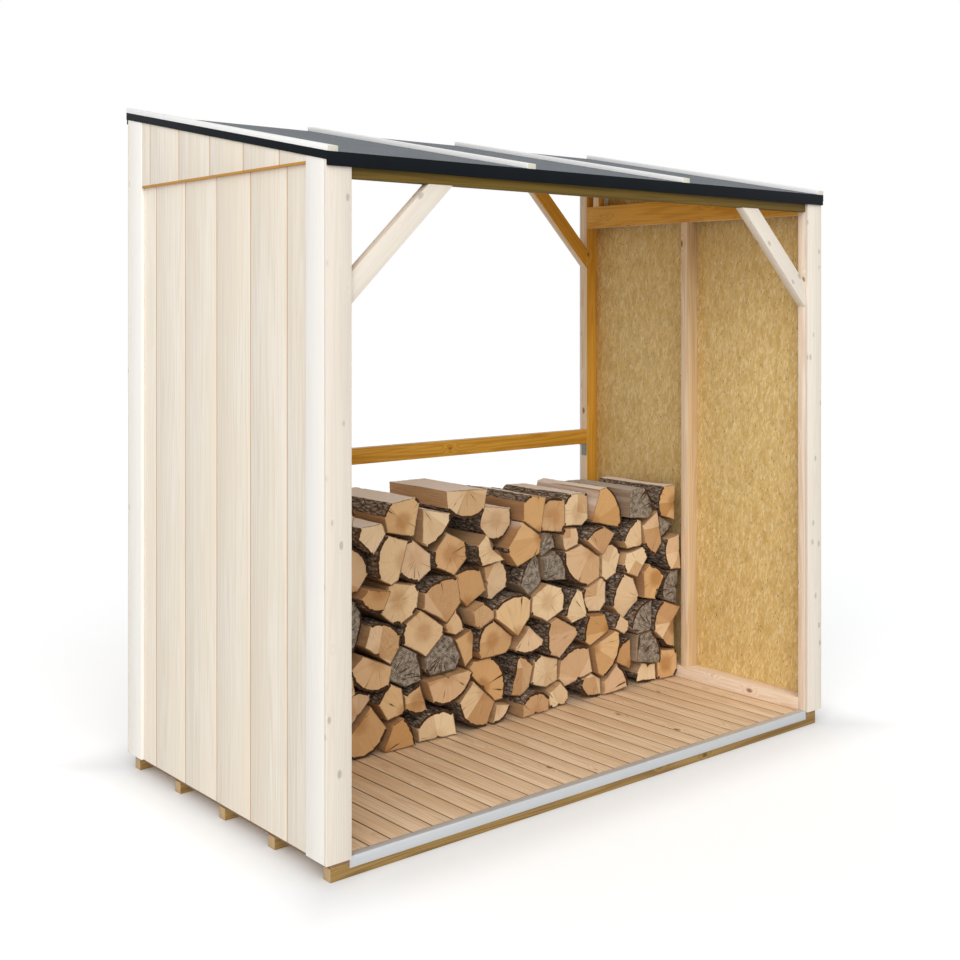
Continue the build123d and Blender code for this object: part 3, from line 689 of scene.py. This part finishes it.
def markLog(log, heart, chance):
    # what the materials read: the place measured from the heart, the log's own tone, weathering and hue,
    # and 1 as alpha along the edge of each sawn end
    mesh = log.data
    tone = (chance.random(), 1.0 if chance.random() < firewood["weathered"] else 0.0, chance.random())
    onSide = {i for face in mesh.polygons if abs(face.normal.y) < 0.5 for i in face.vertices}
    onEnd = {i for face in mesh.polygons if abs(face.normal.y) > 0.9 for i in face.vertices}
    tones = [part for v in mesh.vertices for part in (*tone, float(v.index in onSide and v.index in onEnd))]
    mesh.attributes.new("logTone", "FLOAT_COLOR", "POINT").data.foreach_set("color", tones)
    apart = tone[2] * firewood["apart"]
    places = [part for v in mesh.vertices for part in (v.co.x - heart.x, v.co.z - heart.y, apart)]
    mesh.attributes.new("fromHeart", "FLOAT_VECTOR", "POINT").data.foreach_set("vector", places)


# Sawn beech and birch ends: pale cream to golden, browner round the heart, faint rings and rays, a side that
# split off, painted browner as painted shade for a face turned another way, and some ends weathered grey.
# Rings are drawn 6 mm apart, coarser than real, so that they show. Wobbles and mottles are per metre.
sawnEnd = {"cream": "#EBD3AC", "pinkish": "#D6B28E", "golden": "#D0A062", "side": "#B07C42",
           "heart": "#A46C34", "ring": "#B58A55", "ray": "#B07C46", "greyDark": "#50453A",
           "greyPale": "#AFA393", "frayedAndShaded": "#5E4328", "crack": "#4A3420", "ringMm": 6, "wobbleMm": 16,
           "heartMm": (26, 60), "wobbles": 22.0, "mottles": 60.0, "rays": 9.0, "sides": 0.55,
           "roughness": 0.78}


def sawnEndMaterial():
    material, tree, shader = newMaterial("sawnLogEnd")
    heart = addNode(tree, "Attribute", {"attribute_name": "fromHeart"}, output="Vector")
    tones = addNode(tree, "Attribute", {"attribute_name": "logTone"}, output="Color")
    mark = addNode(tree, "SeparateColor", {}, {0: tones})
    weathered, hue = mark.node.outputs[1], mark.node.outputs[2]
    spot = addNode(tree, "SeparateXYZ", {}, {"Vector": heart})
    angle = addNode(tree, "Math", {"operation": "ARCTAN2"}, {0: spot.node.outputs["Y"], 1: spot})
    flat = addNode(tree, "CombineXYZ", {}, {"X": spot, "Y": spot.node.outputs["Y"]})
    distance = addNode(tree, "VectorMath", {"operation": "LENGTH"}, {0: flat}, "Value")
    wobble = addNode(tree, "TexNoise", {}, {"Vector": heart, "Scale": sawnEnd["wobbles"], "Detail": 2.0})
    reach = addNode(tree, "Math", {"operation": "MULTIPLY_ADD"}, {
        0: wobble, 1: sawnEnd["wobbleMm"] * mm, 2: distance})
    rings = addNode(tree, "Math", {"operation": "SINE"}, {
        0: addNode(tree, "Math", {"operation": "MULTIPLY"}, {
            0: reach, 1: 2 * math.pi / (sawnEnd["ringMm"] * mm)})})
    fanPlace = addNode(tree, "CombineXYZ", {}, {
        "X": addNode(tree, "Math", {"operation": "MULTIPLY"}, {0: angle, 1: sawnEnd["rays"]}),
        "Y": addNode(tree, "Math", {"operation": "MULTIPLY"}, {0: reach, 1: sawnEnd["rays"]}),
        "Z": spot.node.outputs["Z"]})
    rays = addNode(tree, "TexNoise", {}, {"Vector": fanPlace, "Scale": 1.0, "Detail": 2.0})
    turn = addNode(tree, "Math", {"operation": "MULTIPLY_ADD"}, {
        0: angle, 1: sawnEnd["sides"], 2: spot.node.outputs["Z"]})
    side = addNode(tree, "CombineXYZ", {}, {
        "X": addNode(tree, "Math", {"operation": "FLOOR"}, {0: turn}), "Y": hue})
    wedge = addNode(tree, "TexWhiteNoise", {"noise_dimensions": "2D"}, {"Vector": side})
    color = addNode(tree, "Mix", mixColors, {
        0: hue, 6: hexColor(sawnEnd["cream"]), 7: hexColor(sawnEnd["pinkish"])}, 2)
    toned = addNode(tree, "MapRange", {}, {"Value": mark, "From Min": 0.35, "To Max": 0.8})
    color = addNode(tree, "Mix", mixColors, {0: toned, 6: color, 7: hexColor(sawnEnd["golden"])}, 2)
    # painted shade: one random side of each end is browner, for a face broken at another angle
    browner = addNode(tree, "MapRange", {}, {"Value": wedge, "From Min": 0.5, "To Max": 0.7})
    color = addNode(tree, "Mix", mixColors, {0: browner, 6: color, 7: hexColor(sawnEnd["side"])}, 2)
    core = addNode(tree, "MapRange", softly, {
        "Value": reach, "From Min": sawnEnd["heartMm"][0] * mm, "From Max": sawnEnd["heartMm"][1] * mm,
        "To Min": 0.7, "To Max": 0.0})
    core = addNode(tree, "Math", {"operation": "MULTIPLY"}, {0: core, 1: mark})
    color = addNode(tree, "Mix", mixColors, {0: core, 6: color, 7: hexColor(sawnEnd["heart"])}, 2)
    ringed = addNode(tree, "MapRange", {}, {"Value": rings, "To Max": 0.1})
    color = addNode(tree, "Mix", mixColors, {0: ringed, 6: color, 7: hexColor(sawnEnd["ring"])}, 2)
    streaked = addNode(tree, "MapRange", {}, {
        "Value": rays, "From Min": 0.52, "From Max": 0.75, "To Max": 0.3})
    color = addNode(tree, "Mix", mixColors, {0: streaked, 6: color, 7: hexColor(sawnEnd["ray"])}, 2)
    mottle = addNode(tree, "TexNoise", {}, {
        "Vector": heart, "Scale": sawnEnd["mottles"], "Detail": 5.0, "Roughness": 0.7})
    worn = addNode(tree, "Math", {"operation": "MULTIPLY_ADD"}, {0: rings, 1: 0.09, 2: mottle})
    grey = addNode(tree, "Mix", mixColors, {
        0: addNode(tree, "MapRange", {}, {"Value": worn, "From Min": 0.36, "From Max": 0.66}),
        6: hexColor(sawnEnd["greyDark"]), 7: hexColor(sawnEnd["greyPale"])}, 2)
    color = addNode(tree, "Mix", mixColors, {0: weathered, 6: color, 7: grey}, 2)
    # darker along the edge of the cut: partly fraying and dirt, partly painted shade for the dark gaps between
    # the logs
    frayedAndShaded = addNode(tree, "Math", {"operation": "MULTIPLY_ADD"}, {
        0: mottle, 1: 0.5, 2: tones.node.outputs["Alpha"]})
    edged = addNode(tree, "MapRange", {}, {
        "Value": frayedAndShaded, "From Min": 0.72, "From Max": 1.15, "To Max": 0.8})
    color = addNode(tree, "Mix", mixColors, {0: edged, 6: color, 7: hexColor(sawnEnd["frayedAndShaded"])}, 2)
    # drying cracks run out from the heart, more of them in grey ends
    opened = addNode(tree, "Math", {"operation": "MULTIPLY_ADD"}, {0: weathered, 1: 0.1, 2: rays})
    crack = addNode(tree, "MapRange", {}, {"Value": opened, "From Min": 0.7, "From Max": 0.74})
    color = addNode(tree, "Mix", mixColors, {0: crack, 6: color, 7: hexColor(sawnEnd["crack"])}, 2)
    sawn = addNode(tree, "Math", {"operation": "SUBTRACT"}, {0: mottle, 1: crack})
    finishShader(tree, shader, color, sawn, {
        "Roughness": sawnEnd["roughness"], "Specular IOR Level": 0.25}, depthMm=1.2, strength=0.4)
    return material


# Split wood: torn fibres along the log, tan with browner heartwood stripes, and painted light on top of the
# stack, where faces turned up are painted near white. Fibres are drawn 5 mm wide, coarser than real, so that
# they show.
splitFace = {"tan": "#D0AB81", "brown": "#B3875E", "torn": "#8F6B49", "stripe": "#A4744A",
             "litTop": "#FFF4EB", "grey": "#8A7D70", "fibreMm": (5, 5, 120), "stripeMm": (30, 30, 260),
             "roughness": 0.82}


def splitFaceMaterial():
    material, tree, shader = newMaterial("splitLogFace")
    mark = addNode(tree, "SeparateColor", {}, {
        0: addNode(tree, "Attribute", {"attribute_name": "logTone"}, output="Color")})
    fibre = addNode(tree, "TexNoise", {}, {
        "Vector": grainCoords(tree, alongY, splitFace["fibreMm"]),
        "Scale": 1.0, "Detail": 4.0, "Roughness": 0.6})
    stripe = addNode(tree, "TexNoise", {}, {
        "Vector": grainCoords(tree, alongY, splitFace["stripeMm"]), "Scale": 1.0, "Detail": 2.0})
    color = addNode(tree, "Mix", mixColors, {
        0: mark, 6: hexColor(splitFace["tan"]), 7: hexColor(splitFace["brown"])}, 2)
    torn = addNode(tree, "MapRange", {}, {"Value": fibre, "From Min": 0.42, "From Max": 0.72, "To Max": 0.45})
    color = addNode(tree, "Mix", mixColors, {0: torn, 6: color, 7: hexColor(splitFace["torn"])}, 2)
    browner = addNode(tree, "MapRange", {}, {
        "Value": stripe, "From Min": 0.55, "From Max": 0.72, "To Max": 0.4})
    color = addNode(tree, "Mix", mixColors, {0: browner, 6: color, 7: hexColor(splitFace["stripe"])}, 2)
    facing = addNode(tree, "SeparateXYZ", {}, {"Vector": addNode(tree, "NewGeometry", output="Normal")})
    # painted light: faces turned up on the top of the stack are painted near white, as if lit from above
    upward = addNode(tree, "MapRange", {}, {
        "Value": facing.node.outputs["Z"], "From Min": 0.1, "From Max": 0.5, "To Max": 0.85})
    place = addNode(tree, "SeparateXYZ", {}, {"Vector": addNode(tree, "TexCoord", output="Object")})
    top = firewood["topMm"] * mm
    onTop = addNode(tree, "MapRange", {}, {
        "Value": place.node.outputs["Z"], "From Min": top, "From Max": top + 50 * mm})
    litTop = addNode(tree, "Math", {"operation": "MULTIPLY"}, {0: upward, 1: onTop})
    color = addNode(tree, "Mix", mixColors, {0: litTop, 6: color, 7: hexColor(splitFace["litTop"])}, 2)
    greyed = addNode(tree, "Math", {"operation": "MULTIPLY"}, {0: mark.node.outputs[1], 1: 0.6})
    color = addNode(tree, "Mix", mixColors, {0: greyed, 6: color, 7: hexColor(splitFace["grey"])}, 2)
    finishShader(tree, shader, color, fibre, {
        "Roughness": splitFace["roughness"], "Specular IOR Level": 0.25}, depthMm=2.0, strength=0.7)
    return material


# Bark: cracked plates a few centimetres long, brown with paler grey brown crests, and plain dark brown where
# it is cut through at the log's end
logBark = {"brown": "#4F3D30", "crest": "#B09C88", "lichen": "#D2C6B4", "seam": "#2E2118", "cut": "#4E3421",
           "plateMm": (13, 13, 46), "crustMm": (10, 10, 22), "roughness": 0.92}


def barkMaterial():
    material, tree, shader = newMaterial("crackedBark")
    plate = addNode(tree, "TexVoronoi", {"feature": "DISTANCE_TO_EDGE"}, {
        "Vector": grainCoords(tree, alongY, logBark["plateMm"]), "Scale": 1.0})
    crust = addNode(tree, "TexNoise", {}, {
        "Vector": grainCoords(tree, alongY, logBark["crustMm"]),
        "Scale": 1.0, "Detail": 5.0, "Roughness": 0.65})
    tone = addNode(tree, "MapRange", {}, {"Value": crust, "From Min": 0.36, "From Max": 0.62})
    color = addNode(tree, "Mix", mixColors, {
        0: tone, 6: hexColor(logBark["brown"]), 7: hexColor(logBark["crest"])}, 2)
    lichen = addNode(tree, "MapRange", {}, {
        "Value": crust, "From Min": 0.58, "From Max": 0.68, "To Max": 0.8})
    color = addNode(tree, "Mix", mixColors, {0: lichen, 6: color, 7: hexColor(logBark["lichen"])}, 2)
    seam = addNode(tree, "MapRange", {}, {"Value": plate, "From Max": 0.14, "To Min": 0.85, "To Max": 0.0})
    color = addNode(tree, "Mix", mixColors, {0: seam, 6: color, 7: hexColor(logBark["seam"])}, 2)
    facing = addNode(tree, "SeparateXYZ", {}, {"Vector": addNode(tree, "NewGeometry", output="True Normal")})
    onEnd = addNode(tree, "Math", {"operation": "GREATER_THAN"}, {
        0: addNode(tree, "Math", {"operation": "ABSOLUTE"}, {0: facing.node.outputs["Y"]}), 1: 0.8})
    color = addNode(tree, "Mix", mixColors, {0: onEnd, 6: color, 7: hexColor(logBark["cut"])}, 2)
    raised = addNode(tree, "MapRange", {}, {"Value": plate, "From Max": 0.2})
    height = addNode(tree, "Math", {"operation": "ADD"}, {0: raised, 1: crust})
    finishShader(tree, shader, color, height, {
        "Roughness": logBark["roughness"], "Specular IOR Level": 0.2}, depthMm=3.0, strength=0.9)
    return material


def stackFirewood():
    chance = random.Random(firewood["seed"])
    finishes = [sawnEndMaterial(), splitFaceMaterial(), barkMaterial()]
    for nodeName in sorted(name for name in nodes if name.startswith("firewood_course_")):
        course = copyOfNode(nodeName, "firewoodCourse" + nodeName[-1])
        course.data.materials.clear()
        for finish in finishes:
            course.data.materials.append(finish)
        bpy.ops.object.mode_set(mode="EDIT")
        bpy.ops.mesh.separate(type="LOOSE")
        bpy.ops.object.mode_set(mode="OBJECT")
        logs = sorted(bpy.context.selected_objects, key=lambda log: min(v.co.x for v in log.data.vertices))
        for log in logs:
            bpy.ops.object.select_all(action="DESELECT")
            log.select_set(True)
            bpy.context.view_layer.objects.active = log
            heart, radius, middle = cutLog(log)
            markLog(log, heart, chance)
            roughenLog(log, heart, radius, middle, chance)
            bpy.ops.object.shade_smooth_by_angle(angle=math.radians(40))
        for log in logs:
            log.select_set(True)
        bpy.context.view_layer.objects.active = course
        bpy.ops.object.join()
        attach(course, "root")
        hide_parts(nodeName)
        print(course.name, len(logs), "logs,", len(course.data.polygons), "faces")


# Studio: a pale floor, an even white sky and a wide soft lamp on the left
studio = {"floorWide": 40, "dark": "#F4F5F6", "pale": "#F6F7F8", "cloudMm": (300, 300, 300),
          "floorGlow": 0.32, "fadeIn": 0.1, "fadeOut": 0.3, "sky": 0.44, "lamp": 2.2,
          "lampTurn": (60, 0, -41), "lampWide": 70}


def buildStudio():
    bpy.ops.mesh.primitive_plane_add(size=studio["floorWide"], location=(0, 0, -0.2 * mm))
    floor = bpy.context.object
    floor.name = "studioFloor"
    material, tree, shader = newMaterial("paleFloor")
    cloud = addNode(tree, "TexNoise", {}, {
        "Vector": grainCoords(tree, alongZ, studio["cloudMm"]), "Scale": 1.0, "Detail": 3.0})
    color = addNode(tree, "Mix", mixColors, {
        0: cloud, 6: hexColor(studio["dark"]), 7: hexColor(studio["pale"])}, 2)
    finishShader(tree, shader, color, cloud, {
        "Roughness": 0.9, "Specular IOR Level": 0.0}, depthMm=0.1, strength=0.05)
    # a little light of its own keeps the far floor white, but none under the store, so its gaps stay dark
    place = addNode(tree, "SeparateXYZ", {}, {"Vector": addNode(tree, "TexCoord", output="Object")})
    beside = []
    for axis, half in (("X", cadBox[1].x), ("Y", cadBox[1].y)):
        away = addNode(tree, "Math", {"operation": "ABSOLUTE"}, {0: place.node.outputs[axis]})
        beside.append(addNode(tree, "MapRange", softly, {
            "Value": away, "From Min": half - studio["fadeIn"], "From Max": half + studio["fadeOut"]}))
    outside = addNode(tree, "Math", {"operation": "MAXIMUM"}, {0: beside[0], 1: beside[1]})
    shown = addNode(tree, "Math", {"operation": "MULTIPLY"}, {
        0: addNode(tree, "LightPath", output="Is Camera Ray"), 1: outside})
    seen = addNode(tree, "Math", {"operation": "MULTIPLY"}, {0: shown, 1: studio["floorGlow"]})
    glow = addNode(tree, "Emission", {}, {"Strength": seen})
    both = addNode(tree, "AddShader", {}, {0: shader.outputs[0], 1: glow})
    tree.links.new(both, tree.nodes["Material Output"].inputs["Surface"])
    floor.data.materials.append(material)
    world = bpy.data.worlds.new("whiteSky")
    bpy.context.scene.world = world
    world.use_nodes = True
    sky = world.node_tree
    ray = addNode(sky, "LightPath", output="Is Camera Ray")
    plain = ray
    for kind in ("Is Glossy Ray", "Is Transmission Ray"):
        plain = addNode(sky, "Math", {"operation": "MAXIMUM"}, {0: plain, 1: ray.node.outputs[kind]})
    strength = addNode(sky, "MapRange", {}, {"Value": plain, "To Min": studio["sky"]})
    sky.nodes["Background"].inputs["Color"].default_value = (1, 1, 1, 1)
    sky.links.new(strength, sky.nodes["Background"].inputs["Strength"])
    bpy.ops.object.light_add(type="SUN", rotation=[math.radians(angle) for angle in studio["lampTurn"]])
    lamp = bpy.context.object
    lamp.data.energy = studio["lamp"]
    lamp.data.angle = math.radians(studio["lampWide"])
    bpy.context.scene.view_settings.view_transform = "Standard"
    print("studio ready")


placeCamera()
buildStudio()
dressTrims()
dressFrame()
dressFloor()
dressWalls()
dressRoof()
stackFirewood()
